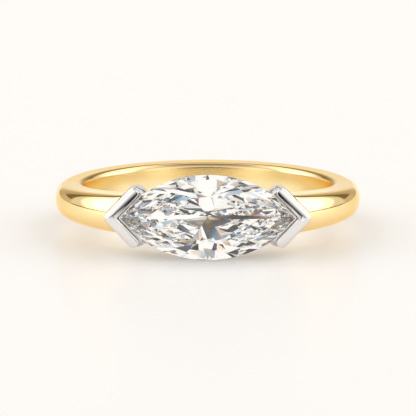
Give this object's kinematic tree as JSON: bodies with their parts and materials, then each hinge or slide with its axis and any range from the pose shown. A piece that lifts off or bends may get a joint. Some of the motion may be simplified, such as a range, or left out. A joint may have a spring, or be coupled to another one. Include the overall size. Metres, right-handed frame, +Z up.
{
  "type": "east west ring",
  "caption": "Polished gold band with a marquise-cut clear stone set across the finger, held at its two points by white metal V prongs. Worn on a finger.",
  "frame": {"origin": "middle of the lying ring's outline, on the surface that it rests on", "axes": "+Z up from the surface, the stone faces -Y and its length runs along X"},
  "size_m": [0.0202, 0.0218, 0.0055],
  "materials": {
    "yellow_gold": "polished yellow gold",
    "white_metal": "polished white metal",
    "clear_stone": "clear cut stone"
  },
  "bodies": {
    "root": {"band": "yellow_gold", "left_v_prong": "white_metal", "right_v_prong": "white_metal", "marquise_stone": "clear_stone"}
  },
  "joints": []
}
